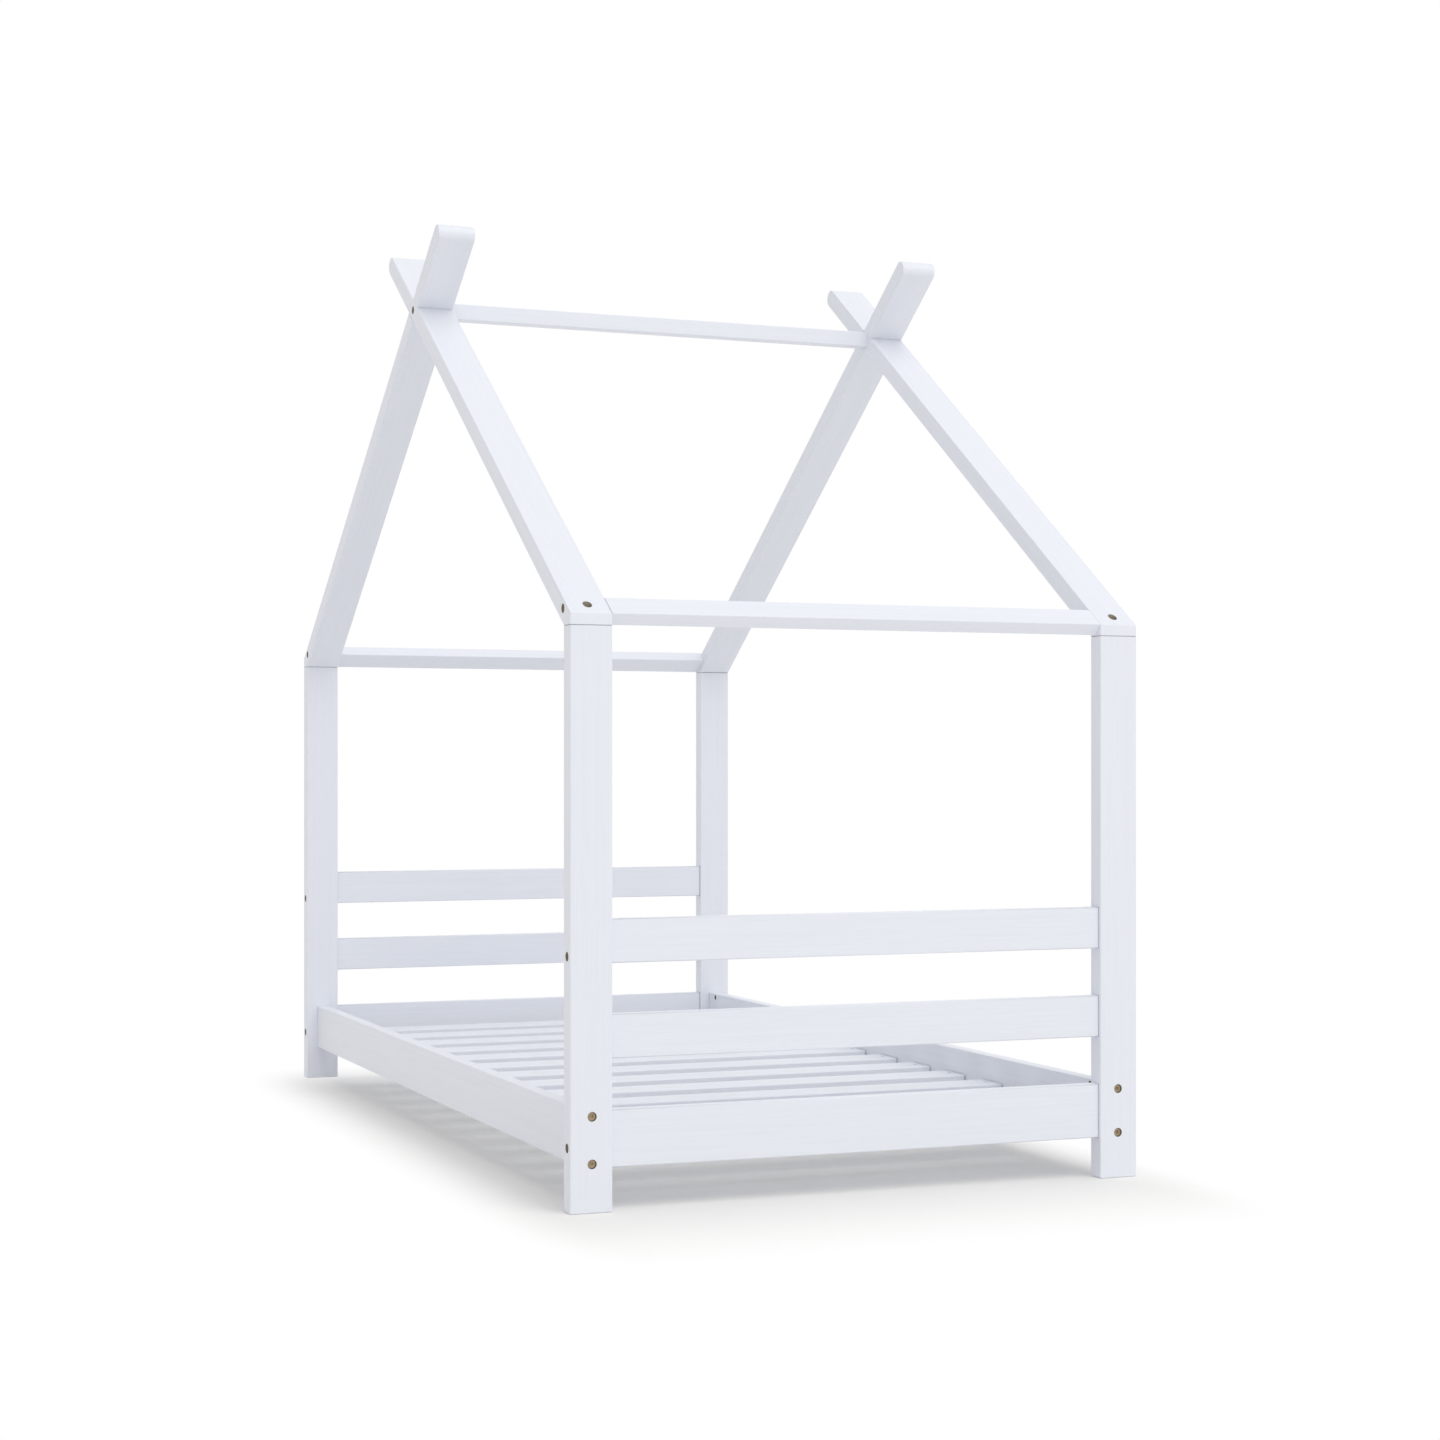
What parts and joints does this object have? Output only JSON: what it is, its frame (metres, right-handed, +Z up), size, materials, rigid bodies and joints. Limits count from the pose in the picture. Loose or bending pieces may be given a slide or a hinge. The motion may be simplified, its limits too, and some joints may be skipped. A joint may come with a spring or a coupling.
{
  "type": "kids bed frame",
  "caption": "House-shaped child's bed frame in white painted wood, with low side rails, guard rails across the ends, a slatted base and crossing roof rafters.",
  "frame": {"origin": "on the floor, under the middle of the bed", "axes": "+X across the bed to the right seen from the foot end, +Y along the bed from foot to head, +Z up"},
  "size_m": [0.902, 1.67, 1.5061],
  "materials": {
    "painted_pine": "satin white paint",
    "bronzed_steel": "bronzed",
    "zinc_plated_steel": "zinc-plated",
    "bare_beech": "bare"
  },
  "bodies": {
    "root": {"ridge_bar": "painted_pine", "foot_eaves_bar": "painted_pine", "head_eaves_bar": "painted_pine", "foot_upper_guard_rail": "painted_pine", "foot_lower_guard_rail": "painted_pine", "foot_bottom_rail": "painted_pine", "head_upper_guard_rail": "painted_pine", "head_lower_guard_rail": "painted_pine", "head_bottom_rail": "painted_pine", "foot_left_post": "painted_pine", "foot_right_post": "painted_pine", "head_left_post": "painted_pine", "head_right_post": "painted_pine", "foot_left_rafter": "painted_pine", "foot_right_rafter": "painted_pine", "head_left_rafter": "painted_pine", "head_right_rafter": "painted_pine", "left_side_rail": "painted_pine", "right_side_rail": "painted_pine", "left_slat_ledger": "painted_pine", "right_slat_ledger": "painted_pine", "slat_01": "painted_pine", "slat_02": "painted_pine", "slat_03": "painted_pine", "slat_04": "painted_pine", "slat_05": "painted_pine", "slat_06": "painted_pine", "slat_07": "painted_pine", "slat_08": "painted_pine", "slat_09": "painted_pine", "slat_10": "painted_pine", "slat_11": "painted_pine", "slat_12": "painted_pine", "side_rail_bolts": "bronzed_steel", "end_rail_bolts": "bronzed_steel", "rafter_foot_bolts": "bronzed_steel", "eaves_bar_bolts": "bronzed_steel", "ridge_bar_bolts": "bronzed_steel", "side_rail_barrel_nuts": "zinc_plated_steel", "end_rail_barrel_nuts": "zinc_plated_steel", "roof_insert_nuts": "zinc_plated_steel", "side_rail_dowels": "bare_beech", "end_rail_dowels": "bare_beech", "slat_screws": "zinc_plated_steel", "ledger_screws": "zinc_plated_steel"}
  },
  "joints": []
}
